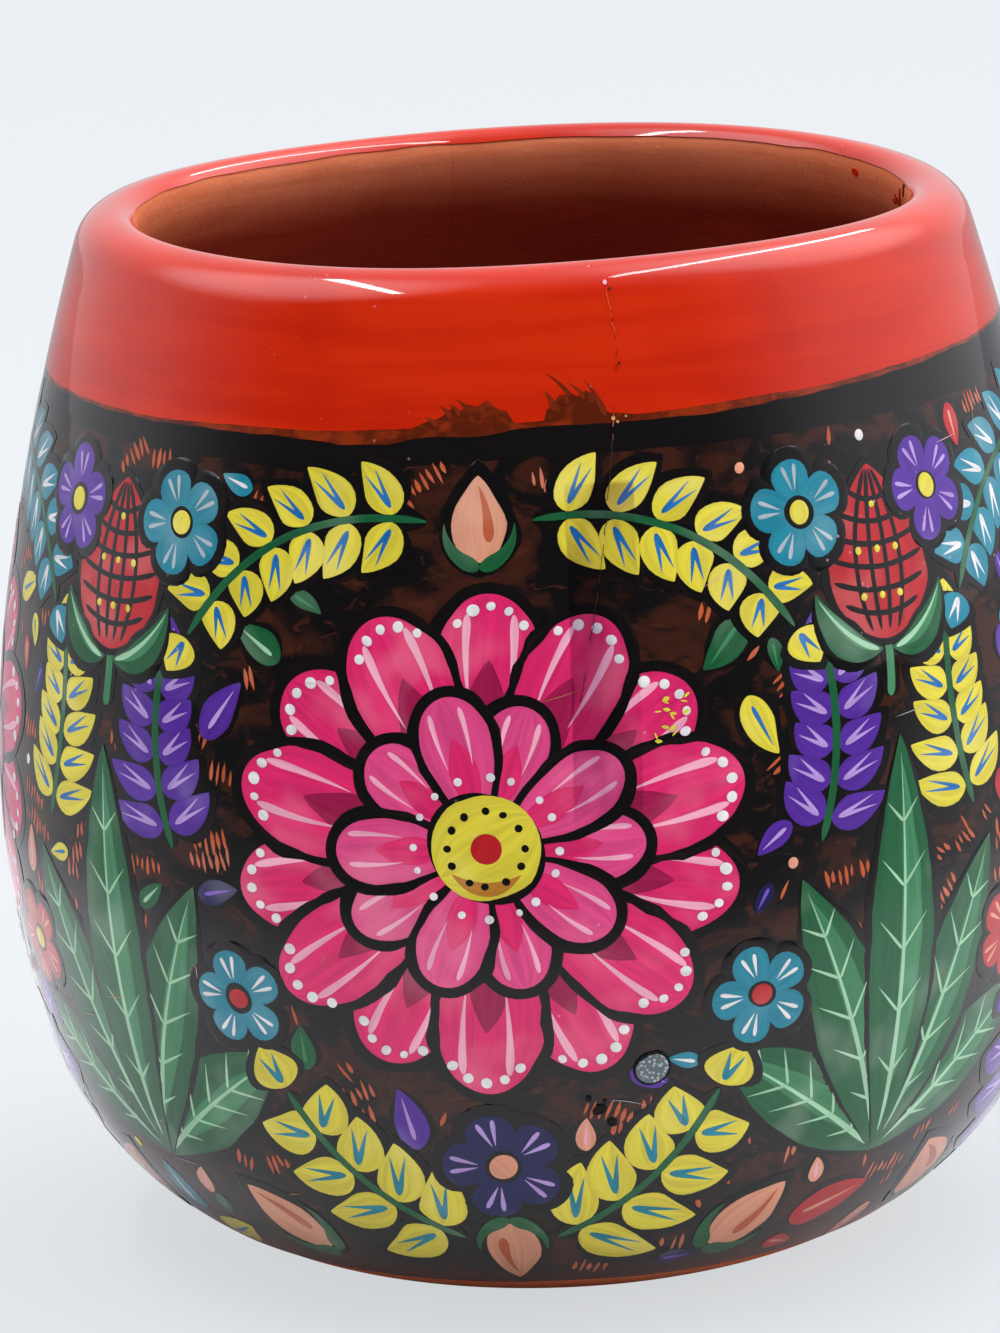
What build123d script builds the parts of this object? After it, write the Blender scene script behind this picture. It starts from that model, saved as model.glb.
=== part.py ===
"""A painted earthenware olla: two moulded clay halves luted to a floor slab, under coats of paint.

Millimetres, +Z up, with the origin on the table under the middle of the foot. The halves meet in the
plane X = 0, so the seams run up the front (-Y) and the back (+Y).
"""
import os
from math import atan2, cos, degrees, radians, sin

from build123d import *

# Outer outline, from the table up
foot_radius = 50.0          # edge of the flat that stands on the table
lower_belly_height = 41.5
lower_belly_inset = 6.8     # from the widest place in to the outline at that height
belly_radius = 100.2        # widest place
belly_height = 87.0
shoulder_rise = 45.0        # belly line up to the shoulder
shoulder_inset = 4.3
neck_rise = 55.7            # shoulder up to the place where the lip starts
neck_inset = 13.7

# Clay
lip_outer_radius = 7.4
lip_inner_radius = 4.0
wall = 7.0
foot_ring_width = 8.0       # standing ring of the halves, round the floor slab
slip = 0.8                  # thickness of the luting slip in every seam

# Coats of paint
paint_clearance = 0.05      # under every coat and film
coat = 0.2                  # rim, line and ground
film = 0.2                  # blossoms and leaves, over the ground
rim_paint_turn = 60.0       # degrees that the red runs over the crest into the mouth
rim_paint_depth = 20.0      # red band on the outside, below the neck
line_width = 6.0
bare_foot = 6.0             # unpainted height above the table

# Blossoms and leaf sprays, by turns round the belly
blossom_count = 4
first_blossom = -16.0       # degrees from the front seam, to the right as seen from outside
blossom_rise = 9.0          # middle of a blossom above the belly line
petal_count = 14
petal_ring_radius = 33.0    # middle of a blossom to the middle of a petal
petal_length = 24.0
petal_width = 17.0
eye_radius = 9.5
spray_drop = 57.0           # root of a leaf spray below the belly line
leaf_width = 15.0
tall_leaf = 78.0
side_leaf = 60.0
low_leaf = 44.0
side_leaf_turn = 22.0       # degrees from upright
low_leaf_turn = 54.0


def outward(arc, place):
    """Direction away from the clay, square to an arc of the body's outline."""
    heading = arc % place
    side = Vector(heading.Y, -heading.X)
    rising = (arc @ 1).Y > (arc @ 0).Y
    return side if rising else -side


def beside(arc, distance):
    """The arc that runs beside an arc of the body, a distance outwards from it."""
    start = (arc @ 0) + outward(arc, 0) * distance
    end = (arc @ 1) + outward(arc, 1) * distance
    return TangentArc(start, end, tangent=arc % 0)


def front_plane(azimuth, rise):
    """Upright plane through the axis that looks outwards at an azimuth, rise above the belly line."""
    turn = radians(azimuth)
    return Plane(
        origin=(0, 0, belly_height + rise),
        x_dir=(cos(turn), sin(turn), 0),
        z_dir=(sin(turn), -cos(turn), 0),
    )


def painted_film(shape, azimuth, rise):
    """Film of paint that a flat shape leaves on the pot, laid square on at an azimuth."""
    with BuildPart() as painted:
        with BuildSketch(front_plane(azimuth, rise)):
            add(shape.sketch)
        extrude(amount=prism_length)
        add(film_skin.part, mode=Mode.INTERSECT)
    return painted.part


# The outline is a chain of tangent arcs, upright at the belly
belly = (belly_radius, belly_height)
lower_belly = (belly_radius - lower_belly_inset, lower_belly_height)
shoulder_radius = belly_radius - shoulder_inset
shoulder_height = belly_height + shoulder_rise
shoulder = (shoulder_radius, shoulder_height)
neck_radius = shoulder_radius - neck_inset
neck_height = shoulder_height + neck_rise

with BuildLine() as outline:
    lower_arc = TangentArc(belly, lower_belly, tangent=(0, -1))
    heel_arc = TangentArc(lower_belly, (foot_radius, 0), tangent=lower_arc % 1)
    shoulder_arc = TangentArc(belly, shoulder, tangent=(0, 1))
    neck_arc = TangentArc(shoulder, (neck_radius, neck_height), tangent=shoulder_arc % 1)
    neck = neck_arc @ 1
    neck_heading = neck_arc % 1
    neck_lean = degrees(atan2(-neck_heading.X, neck_heading.Y))
    lip_arc = JernArc(neck, neck_heading, lip_outer_radius, 90 - neck_lean)
    crest = lip_arc @ 1
    mouth_arc = JernArc(crest, (-1, 0), lip_inner_radius, 90 + neck_lean)

body_arcs = [heel_arc, lower_arc, shoulder_arc, neck_arc]
slab_seat = foot_radius - foot_ring_width
floor_edge = (heel_arc @ 1) - outward(heel_arc, 1) * wall
floor_height = floor_edge.Y
red_bottom = neck_height - rim_paint_depth
line_bottom = red_bottom - line_width
prism_length = 2 * belly_radius
coat_under = paint_clearance
coat_over = coat_under + coat
film_under = coat_over + paint_clearance
film_over = film_under + film

# Whole clay wall, before it is parted into halves and seams
with BuildPart() as clay_wall:
    with BuildSketch(Plane.XZ):
        with BuildLine():
            add(outline.line)
            inside_arcs = [beside(arc, -wall) for arc in (heel_arc, lower_arc, shoulder_arc)]
            inside_shoulder = inside_arcs[-1]
            Spline(
                inside_shoulder @ 1,
                mouth_arc @ 1,
                tangents=(inside_shoulder % 1, -(mouth_arc % 1)),
            )
            Polyline(floor_edge, (slab_seat, floor_height), (slab_seat, 0), (foot_radius, 0))
        make_face()
    revolve(axis=Axis.Z)

# Skin of the base coats, from inside the lip to the foot
with BuildPart() as coat_skin:
    with BuildSketch(Plane.XZ):
        with BuildLine():
            feet, mouths = [], []
            for distance in (coat_under, coat_over):
                arcs = [beside(arc, distance) for arc in body_arcs]
                lip = JernArc(arcs[-1] @ 1, neck_heading, lip_outer_radius + distance, 90 - neck_lean)
                mouth = JernArc(lip @ 1, (-1, 0), lip_inner_radius + distance, rim_paint_turn)
                feet.append(arcs[0] @ 1)
                mouths.append(mouth @ 1)
            Line(*feet)
            Line(*mouths)
        make_face()
    revolve(axis=Axis.Z)

# Skin of the brush films, over the base coats of the body
with BuildPart() as film_skin:
    with BuildSketch(Plane.XZ):
        with BuildLine():
            under_arcs = [beside(arc, film_under) for arc in body_arcs]
            over_arcs = [beside(arc, film_over) for arc in body_arcs]
            Line(under_arcs[0] @ 1, over_arcs[0] @ 1)
            Line(under_arcs[-1] @ 1, over_arcs[-1] @ 1)
        make_face()
    revolve(axis=Axis.Z)

# Moulded halves
with BuildPart() as right_half_shell:
    add(clay_wall.part)
    split(bisect_by=Plane.YZ.offset(slip / 2), keep=Keep.TOP)

with BuildPart() as left_half_shell:
    add(clay_wall.part)
    split(bisect_by=Plane.YZ.offset(-slip / 2), keep=Keep.BOTTOM)

# Slip in the two upright seams
with BuildPart() as front_seam_slip:
    add(clay_wall.part)
    split(bisect_by=Plane.YZ.offset(slip / 2), keep=Keep.BOTTOM)
    split(bisect_by=Plane.YZ.offset(-slip / 2), keep=Keep.TOP)
    split(bisect_by=Plane.XZ, keep=Keep.TOP)

with BuildPart() as rear_seam_slip:
    add(clay_wall.part)
    split(bisect_by=Plane.YZ.offset(slip / 2), keep=Keep.BOTTOM)
    split(bisect_by=Plane.YZ.offset(-slip / 2), keep=Keep.TOP)
    split(bisect_by=Plane.XZ, keep=Keep.BOTTOM)

# Floor slab and the ring of slip round it
with BuildPart() as base_slab:
    with BuildSketch():
        Circle(slab_seat - slip)
    extrude(amount=floor_height)

with BuildPart() as base_seam_slip:
    with BuildSketch():
        Circle(slab_seat)
        Circle(slab_seat - slip, mode=Mode.SUBTRACT)
    extrude(amount=floor_height)

# Base coats
with BuildPart() as rim_paint:
    add(coat_skin.part)
    split(bisect_by=Plane.XY.offset(red_bottom), keep=Keep.TOP)

with BuildPart() as shoulder_line:
    add(coat_skin.part)
    split(bisect_by=Plane.XY.offset(red_bottom), keep=Keep.BOTTOM)
    split(bisect_by=Plane.XY.offset(line_bottom), keep=Keep.TOP)

with BuildPart() as ground_wash:
    add(coat_skin.part)
    split(bisect_by=Plane.XY.offset(line_bottom), keep=Keep.BOTTOM)
    split(bisect_by=Plane.XY.offset(bare_foot), keep=Keep.TOP)

# Blossoms: a ring of petals with a round eye let into it
blossom_step = 360 / blossom_count
blossom_azimuths = [first_blossom + blossom_step * turn for turn in range(blossom_count)]

with BuildSketch() as petals_shape:
    Circle(petal_ring_radius)
    with PolarLocations(petal_ring_radius, petal_count):
        Ellipse(petal_length / 2, petal_width / 2)
    Circle(eye_radius, mode=Mode.SUBTRACT)

with BuildSketch() as eye_shape:
    Circle(eye_radius)

with BuildPart() as blossom_petals:
    for azimuth in blossom_azimuths:
        add(painted_film(petals_shape, azimuth, blossom_rise))

with BuildPart() as blossom_eyes:
    for azimuth in blossom_azimuths:
        add(painted_film(eye_shape, azimuth, blossom_rise))

# Leaf sprays, half way between the blossoms
leaf_lengths = {
    0: tall_leaf,
    side_leaf_turn: side_leaf,
    -side_leaf_turn: side_leaf,
    low_leaf_turn: low_leaf,
    -low_leaf_turn: low_leaf,
}
with BuildSketch() as spray_shape:
    for leaf_turn, leaf_length in leaf_lengths.items():
        with BuildSketch(mode=Mode.PRIVATE) as leaf:
            with BuildLine():
                ThreePointArc((0, 0), (leaf_width / 2, leaf_length / 2), (0, leaf_length))
                ThreePointArc((0, 0), (-leaf_width / 2, leaf_length / 2), (0, leaf_length))
            make_face()
        add(leaf.sketch.rotate(Axis.Z, leaf_turn))

with BuildPart() as leaf_sprays:
    for azimuth in blossom_azimuths:
        add(painted_film(spray_shape, azimuth + blossom_step / 2, -spray_drop))

pieces = {
    "left_half_shell": left_half_shell,
    "right_half_shell": right_half_shell,
    "base_slab": base_slab,
    "front_seam_slip": front_seam_slip,
    "rear_seam_slip": rear_seam_slip,
    "base_seam_slip": base_seam_slip,
    "rim_paint": rim_paint,
    "shoulder_line": shoulder_line,
    "ground_wash": ground_wash,
    "blossom_petals": blossom_petals,
    "blossom_eyes": blossom_eyes,
    "leaf_sprays": leaf_sprays,
}

os.makedirs("parts", exist_ok=True)
for name, piece in pieces.items():
    piece.part.label = name
    export_step(piece.part, f"parts/{name}.step")
print(f"height {crest.Y:.2f}, floor {floor_height:.2f}, mouth radius {(mouth_arc @ 1).X:.2f}")
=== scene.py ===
import math
import random

import bmesh
import bpy
from mathutils import Matrix, Vector, noise


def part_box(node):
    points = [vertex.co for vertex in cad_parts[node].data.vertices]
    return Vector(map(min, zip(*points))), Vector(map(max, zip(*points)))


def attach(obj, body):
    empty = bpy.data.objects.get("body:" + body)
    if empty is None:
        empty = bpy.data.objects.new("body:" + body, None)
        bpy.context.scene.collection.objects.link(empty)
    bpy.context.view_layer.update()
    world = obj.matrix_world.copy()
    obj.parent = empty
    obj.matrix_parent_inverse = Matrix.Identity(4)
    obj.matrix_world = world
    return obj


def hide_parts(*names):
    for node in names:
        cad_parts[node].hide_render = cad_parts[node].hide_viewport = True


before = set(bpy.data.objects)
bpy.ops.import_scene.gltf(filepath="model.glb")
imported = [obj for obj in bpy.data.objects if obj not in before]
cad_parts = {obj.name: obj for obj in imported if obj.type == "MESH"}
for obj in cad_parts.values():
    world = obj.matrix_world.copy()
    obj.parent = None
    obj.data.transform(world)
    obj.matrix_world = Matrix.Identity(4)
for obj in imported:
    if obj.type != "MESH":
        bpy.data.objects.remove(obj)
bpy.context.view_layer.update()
mm = 0.001


# the pot's outline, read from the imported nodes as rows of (radius, height)

def outlineRows(nodeNames, centre, inwards=False, spacing=1.1 * mm):
    rows = []
    for name in nodeNames:
        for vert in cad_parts[name].data.vertices:
            radius = math.hypot(vert.co.x, vert.co.y)
            out = (vert.normal.x * vert.co.x + vert.normal.y * vert.co.y) / max(radius, 1e-9)
            acrossR, acrossZ = radius - centre[0], vert.co.z - centre[1]
            ahead = (out * acrossR + vert.normal.z * acrossZ) / math.hypot(acrossR, acrossZ)
            upright = math.hypot(out, vert.normal.z) > 0.9  # leaves out the cut faces at the seams
            if upright and (ahead < -0.12 if inwards else ahead > 0.12):
                rows.append((math.atan2(acrossZ, acrossR), radius, vert.co.z))
    rows.sort()
    kept = [rows[0]]
    for row in rows[1:]:
        if math.hypot(row[1] - kept[-1][1], row[2] - kept[-1][2]) > spacing:
            kept.append(row)
    return [(radius, height) for turn, radius, height in kept]


def smoothLine(rows):  # a curve through the rows, by the length along it
    lengths = [0.0]
    for a, b in zip(rows, rows[1:]):
        lengths.append(lengths[-1] + math.hypot(b[0] - a[0], b[1] - a[1]))

    def lineAt(along):
        along = min(max(along, 0.0), lengths[-1])
        low, high = 0, len(lengths) - 2
        while low < high:
            mid = (low + high + 1) // 2
            low, high = (mid, high) if lengths[mid] <= along else (low, mid - 1)
        span = lengths[low + 1] - lengths[low]
        t = (along - lengths[low]) / span
        before, after = max(low - 1, 0), min(low + 2, len(rows) - 1)
        value, slope = [], []
        for axis in (0, 1):
            p0, p1, p2, p3 = (rows[i][axis] for i in (before, low, low + 1, after))
            m1 = (p2 - p0) * span / max(lengths[low + 1] - lengths[before], 1e-9)
            m2 = (p3 - p1) * span / max(lengths[after] - lengths[low], 1e-9)
            a, b = 2 * p1 - 2 * p2 + m1 + m2, -3 * p1 + 3 * p2 - 2 * m1 - m2
            value.append(((a * t + b) * t + m1) * t + p1)
            slope.append((3 * a * t + 2 * b) * t + m1)
        size = math.hypot(*slope)
        return value[0], value[1], slope[1] / size, -slope[0] / size  # radius, height and the outward side

    return lineAt, lengths[-1]


paintCentre = (0.040, 0.100)  # every painted place faces away from here
cavityCentre = (0.0, 0.100)  # and the inside of the wall faces towards this
coatRows = outlineRows(["ground_wash", "shoulder_line", "rim_paint"], paintCentre)
coatLine, coatLength = smoothLine(coatRows)
bodySteps = 1600
bodyTable = [coatLine(coatLength * i / bodySteps) for i in range(bodySteps + 1)]
crestIndex = max(range(bodySteps + 1), key=lambda i: bodyTable[i][1])
bellyHeight = max(bodyTable)[1]
lipHeight = bodyTable[crestIndex][1]
print("outline rows", len(coatRows), "belly", round(bellyHeight, 4), "lip", round(lipHeight, 4))


def bodyStep(height):  # last row of the table up to a height, and the share of the way to the next row
    low, high = 0, crestIndex
    while high - low > 1:
        mid = (low + high) // 2
        low, high = (mid, high) if bodyTable[mid][1] <= height else (low, mid)
    below, above = bodyTable[low][1], bodyTable[low + 1][1]
    return low, min(max((height - below) / max(above - below, 1e-9), 0.0), 1.0)


def bodyAt(height):  # radius, height and outward side of the painted body
    low, t = bodyStep(height)
    return [p + (q - p) * t for p, q in zip(bodyTable[low], bodyTable[low + 1])]


def alongAt(height):  # length along the outline, up to the crest
    low, t = bodyStep(height)
    return coatLength * (low + t) / bodySteps


# what pressing and wiping by hand leaves in the wall; the foot stays flat
handWork = {"outOfRound": 0.5 * mm, "ovalTurn": 0.9, "dents": 0.42 * mm, "dentSize": 55 * mm,
            "dentSeed": Vector((3.1, 7.7, 1.9)), "seamRidge": 0.11 * mm, "seamWidth": 5 * mm,
            "rimWave": 0.45 * mm, "waveTurn": 0.7, "waveAbove": 0.7, "stillBelow": 2 * mm,
            "fullAbove": 16 * mm, "meanRadius": 90 * mm}


def smoothStep(value, low, high):
    t = min(max((value - low) / (high - low), 0.0), 1.0)
    return t * t * (3 - 2 * t)


def outwards(azimuth):  # level, away from the axis
    return Vector((math.sin(azimuth), -math.cos(azimuth), 0))


def handShift(azimuth, height):  # how far the wall strays outwards and upwards
    here = outwards(azimuth) * handWork["meanRadius"] + Vector((0, 0, height))
    out = handWork["outOfRound"] * math.cos(2 * azimuth + handWork["ovalTurn"]) * (0.4 + height / lipHeight)
    out += handWork["dents"] * noise.noise(here / handWork["dentSize"] + handWork["dentSeed"])
    for seam in (0.0, math.pi):
        away = math.remainder(azimuth - seam, 2 * math.pi) * handWork["meanRadius"] / handWork["seamWidth"]
        out += handWork["seamRidge"] * math.exp(-away * away)
    up = handWork["rimWave"] * math.sin(3 * azimuth + handWork["waveTurn"])
    up *= smoothStep(height, handWork["waveAbove"] * lipHeight, lipHeight)
    return out * smoothStep(height, handWork["stillBelow"], handWork["fullAbove"]), up


def onPot(azimuth, row, lift=0.0):  # azimuth from the front seam to the right
    radius, height, sideR, sideZ = row
    out, up = handShift(azimuth, height)
    radius += out + sideR * lift
    return Vector((radius * math.sin(azimuth), -radius * math.cos(azimuth), height + up + sideZ * lift))


# shader maths

class Socket:
    def __init__(self, board, out):
        self.board, self.out = board, out

    def maths(self, operation, other, swap=False):
        first, second = (other, self) if swap else (self, other)
        return self.board.node("ShaderNodeMath", {"operation": operation}, {0: first, 1: second})

    def __add__(self, other):
        return self.maths("ADD", other)

    def __radd__(self, other):
        return self.maths("ADD", other, True)

    def __sub__(self, other):
        return self.maths("SUBTRACT", other)

    def __rsub__(self, other):
        return self.maths("SUBTRACT", other, True)

    def __mul__(self, other):
        return self.maths("MULTIPLY", other)

    def __rmul__(self, other):
        return self.maths("MULTIPLY", other, True)

    def __abs__(self):
        return self.maths("ABSOLUTE", 0.0)


class Board:  # a node tree
    def __init__(self, tree):
        self.tree = tree

    def fill(self, made, values):
        for key, value in values.items():
            if isinstance(value, Socket):
                self.tree.links.new(value.out, made.inputs[key])
            else:
                made.inputs[key].default_value = value

    def node(self, kind, settings=None, values=None, out=0):
        made = self.tree.nodes.new(kind)
        for key, value in (settings or {}).items():
            setattr(made, key, value)
        self.fill(made, values or {})
        return Socket(self, made.outputs[out])

    def objectPlace(self, scale=(1, 1, 1), turn=(0, 0, 0), shift=(0, 0, 0)):
        place = self.node("ShaderNodeTexCoord", out=3)
        return self.node("ShaderNodeMapping", {}, {0: place, 1: shift, 2: turn, 3: scale})

    def uvPlace(self, layer, scale=(1, 1, 1)):
        place = self.node("ShaderNodeUVMap", {"uv_map": layer})
        return self.node("ShaderNodeMapping", {}, {0: place, 3: scale})

    def part(self, vector, axis):
        return self.node("ShaderNodeSeparateXYZ", {}, {0: vector}, out=axis)

    def dot(self, vector, other):
        return self.node("ShaderNodeVectorMath", {"operation": "DOT_PRODUCT"}, {0: vector, 1: other}, out=1)

    def grain(self, place, scale, detail=3.0, rough=0.55, twist=0.0):
        values = {"Vector": place, "Scale": scale, "Detail": detail, "Roughness": rough, "Distortion": twist}
        return self.node("ShaderNodeTexNoise", {}, values)

    def spots(self, place, scale):
        return self.node("ShaderNodeTexVoronoi", {}, {"Vector": place, "Scale": scale})

    def band(self, value, low, high, toLow=0.0, toHigh=1.0):  # smooth step from one value to another
        settings = {"interpolation_type": "SMOOTHSTEP", "clamp": True}
        return self.node("ShaderNodeMapRange", settings, {0: value, 1: low, 2: high, 3: toLow, 4: toHigh})

    def mix(self, factor, first, second, blend="MIX"):
        settings = {"data_type": "RGBA", "blend_type": blend}
        return self.node("ShaderNodeMix", settings, {0: factor, 6: first, 7: second}, out=2)

    def bump(self, height, distance, strength=1.0):
        return self.node("ShaderNodeBump", {}, {"Height": height, "Distance": distance, "Strength": strength})


class Finish(Board):  # one material
    def __init__(self, name):
        self.material = bpy.data.materials.new(name)
        self.material.use_nodes = True
        super().__init__(self.material.node_tree)
        self.tree.nodes.clear()
        self.shader = self.tree.nodes.new("ShaderNodeBsdfPrincipled")
        output = self.tree.nodes.new("ShaderNodeOutputMaterial")
        self.tree.links.new(self.shader.outputs[0], output.inputs[0])

    def surface(self, **values):
        self.fill(self.shader, {key.replace("_", " "): value for key, value in values.items()})
        return self.material


def rgb(red, green, blue):  # as the eye names a colour, 0 to 255
    shares = (red / 255, green / 255, blue / 255)
    return (*[s / 12.92 if s <= 0.04045 else ((s + 0.055) / 1.055) ** 2.4 for s in shares], 1.0)


pigments = {
    "ink": rgb(15, 13, 14),
    "umber": rgb(58, 27, 17),
    "sienna": rgb(118, 38, 10),
    "terracotta": rgb(188, 88, 50),
    "pink": rgb(222, 40, 104),
    "rose": rgb(226, 74, 132),
    "magenta": rgb(158, 24, 74),
    "blush": rgb(244, 168, 190),
    "yellow": rgb(222, 206, 62),
    "ochre": rgb(186, 122, 42),
    "green": rgb(26, 92, 54),
    "leafLight": rgb(58, 128, 84),
    "paleGreen": rgb(158, 204, 164),
    "purple": rgb(84, 42, 148),
    "violet": rgb(120, 84, 190),
    "lilac": rgb(180, 148, 210),
    "turquoise": rgb(30, 130, 150),
    "blue": rgb(34, 112, 176),
    "navy": rgb(26, 28, 80),
    "red": rgb(186, 30, 38),
    "peach": rgb(222, 152, 120),
    "white": rgb(228, 224, 222),
    "grey": rgb(168, 180, 186),
    "scuff": rgb(196, 150, 84),
    "rust": rgb(222, 96, 62),
    "rimRed": rgb(196, 34, 4),
}


# finishes

varnish = {"Coat_Weight": 1.0, "Coat_Roughness": 0.05, "Coat_IOR": 1.5, "Specular_IOR_Level": 0.04}
oldTape = {"left": -11.0 * mm, "right": 1.5 * mm, "low": 98 * mm, "high": 158 * mm, "lean": 0.035,
           "blur": 0.5 * mm, "blurLow": 6 * mm, "blurHigh": 1 * mm, "stain": (0.42, 0.34, 0.48, 1.0)}


def wornColour(f, colour):  # pale specks in the varnish, and the stain of a strip that was stuck on the front
    place = f.objectPlace()
    patchy = f.grain(f.objectPlace(shift=(0.3, 0.1, 0.7)), 26.0, 2.0)
    specks = f.band(f.spots(place, 300.0), 0.10, 0.05) * f.band(patchy, 0.56, 0.66, 0.0, 0.55)
    colour = f.mix(specks, colour, pigments["blush"])
    x, y, z = (f.part(place, axis) for axis in range(3))
    x = x + (oldTape["high"] - z) * oldTape["lean"]
    stain = f.band(y, 0.0, -10 * mm)  # on the front alone
    for across, edge, blur in ((x, "left", oldTape["blur"]), (x, "right", -oldTape["blur"]),
                               (z, "low", oldTape["blurLow"]), (z, "high", -oldTape["blurHigh"])):
        stain = stain * f.band(across, oldTape[edge], oldTape[edge] + blur)
    stain = stain * f.band(f.grain(f.objectPlace((90, 90, 22)), 1.0, 3.0), 0.35, 0.65, 0.25, 0.8)
    return f.mix(stain, colour, f.mix(1.0, colour, oldTape["stain"], "MULTIPLY"))


def varnished(f, colour, uneven, roughness, relief, depth, strength=0.4):
    return f.surface(Base_Color=wornColour(f, colour), Roughness=f.band(uneven, 0.3, 0.7, *roughness),
                     Normal=f.bump(relief, depth, strength), **varnish)


def brushPaint():  # flat enamel colour from each stroke, a little uneven along the brush
    f = Finish("brushPaint")
    pigment = f.node("ShaderNodeAttribute", {"attribute_name": "pigment"})
    streak = f.grain(f.uvPlace("brush", (70, 620, 1)), 1.0, 3.0, 0.55, 0.3)
    cloud = f.grain(f.objectPlace(), 60.0, 2.0)
    deeper = f.mix(1.0, pigment, (0.66, 0.62, 0.66, 1.0), "MULTIPLY")
    paler = f.mix(0.12, pigment, (1.0, 0.93, 0.88, 1.0))
    colour = f.mix(f.band(streak, 0.32, 0.66, 0.6, 0.0), pigment, deeper)
    colour = f.mix(f.band(cloud, 0.48, 0.72, 0.0, 0.7), colour, paler)
    edge = abs(f.part(f.uvPlace("stroke"), 1) * 2.0 - 1.0)
    colour = f.mix(f.band(edge + streak * 0.5, 1.05, 1.35, 0.0, 0.5), colour, deeper)
    return varnished(f, colour, streak, (0.40, 0.50), streak, 0.025 * mm)


def inkPaint():
    f = Finish("inkPaint")
    streak = f.grain(f.uvPlace("brush", (70, 620, 1)), 1.0, 3.0, 0.6)
    colour = f.mix(f.band(streak, 0.50, 0.72, 0.0, 0.55), pigments["ink"], rgb(42, 24, 20))
    return varnished(f, colour, streak, (0.38, 0.48), streak, 0.025 * mm)


def groundPaint(brownAbove):  # dark wash; clay shows where the brush ran dry, brown enamel under the rim
    f = Finish("groundPaint")
    place = f.objectPlace()
    broad = f.grain(f.objectPlace((70, 70, 110), (0.0, 0.5, 0.3)), 1.0, 3.0, 0.55, 1.2)
    fine = f.grain(f.objectPlace((260, 260, 420), (0.3, 0.4, 0.7)), 1.0, 2.0, 0.6, 0.8)
    colour = f.mix(f.band(broad, 0.44, 0.62), pigments["ink"], pigments["umber"])
    colour = f.mix(f.band(fine, 0.58, 0.74, 0.0, 0.5), colour, rgb(84, 40, 26))
    stain = f.mix(f.band(fine * 0.5 + broad * 0.5, 0.40, 0.62), rgb(84, 26, 6), rgb(138, 44, 10))
    colour = f.mix(f.band(f.part(place, 2), brownAbove, brownAbove + 0.4 * mm), colour, stain)
    return varnished(f, colour, broad, (0.40, 0.50), broad + fine, 0.03 * mm)


def rimEnamel():  # orange red, brushed round the neck
    f = Finish("rimEnamel")
    streak = f.grain(f.objectPlace((14, 14, 190)), 1.0, 3.0, 0.5, 0.3)
    cloud = f.grain(f.objectPlace((1.0, 1.0, 1.6)), 26.0, 3.0, 0.55, 0.8)
    colour = f.mix(f.band(streak, 0.36, 0.66), rgb(188, 31, 2), rgb(200, 40, 3))
    colour = f.mix(f.band(cloud, 0.46, 0.72, 0.0, 0.6), colour, rgb(176, 26, 2))
    return varnished(f, colour, streak, (0.36, 0.46), streak * 0.4 + cloud, 0.16 * mm, 0.5)


# painted shade inside the pot: where it starts and is full below the lip, where it stops above the foot, and
# how dark
insideShade = {"paleDown": 4 * mm, "darkDown": 17 * mm, "footPale": 8 * mm, "footDark": 16 * mm,
          "shade": (0.34, 0.13, 0.125, 1.0)}


def bareClay(name, tone=1.0):  # low-fired clay: sandy, wiped, a few pale grits; painted shade darkens it inside, below the lip
    f = Finish(name)
    sand = f.grain(f.objectPlace(), 900.0, 3.0, 0.65)
    cloud = f.grain(f.objectPlace(), 24.0, 4.0, 0.6)
    wipe = f.grain(f.objectPlace((30, 30, 300)), 1.0, 3.0, 0.6, 0.5)
    grit = f.spots(f.objectPlace(), 420.0)
    light = rgb(222 * tone, 126 * tone, 88 * tone)
    deep = rgb(200 * tone, 104 * tone, 66 * tone)
    colour = f.mix(f.band(cloud * 0.6 + wipe * 0.4, 0.36, 0.64), deep, light)
    colour = f.mix(f.band(sand, 0.5, 0.75, 0.0, 0.3), colour, rgb(228 * tone, 146 * tone, 110 * tone))
    colour = f.mix(f.band(grit, 0.11, 0.07, 0.0, 0.4), colour, rgb(206, 176, 146))
    height = f.part(f.objectPlace(), 2)  # painted shade: the clay is darker inside, from a little below the lip downwards, stopping above the foot
    inside = f.band(height, lipHeight - insideShade["paleDown"], lipHeight - insideShade["darkDown"])
    inside = inside * f.band(height, insideShade["footPale"], insideShade["footDark"])
    colour = f.mix(inside, colour, f.mix(1.0, colour, insideShade["shade"], "MULTIPLY"))
    relief = sand * 0.35 + wipe * 0.5 + f.band(grit, 0.2, 0.05) * 0.3
    return f.surface(Base_Color=colour, Roughness=f.band(cloud, 0.3, 0.7, 0.74, 0.88),
                     Normal=f.bump(relief, 0.3 * mm, 0.6), Specular_IOR_Level=0.05)


def chippedClay():  # grey, crumbly places where the paint has gone
    f = Finish("chippedClay")
    crumb = f.spots(f.objectPlace(), 1500.0)
    grime = f.grain(f.objectPlace(), 1100.0, 3.0, 0.6)
    pigment = f.node("ShaderNodeAttribute", {"attribute_name": "pigment"})
    dark = f.mix(1.0, pigment, (0.3, 0.3, 0.3, 1.0), "MULTIPLY")
    colour = f.mix(f.band(crumb + grime * 0.4, 0.35, 0.75), pigment, dark)
    return f.surface(Base_Color=colour, Roughness=f.band(grime, 0.3, 0.7, 0.7, 0.9),
                     Normal=f.bump(crumb + grime, 0.3 * mm, 0.8))


# laying paint: every stroke is a small grid bent on to the pot

def addMesh(name, bm, material):
    mesh = bpy.data.meshes.new(name)
    bm.to_mesh(mesh)
    bm.free()
    mesh.materials.append(material)
    made = bpy.data.objects.new(name, mesh)
    bpy.context.scene.collection.objects.link(made)
    return made


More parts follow.
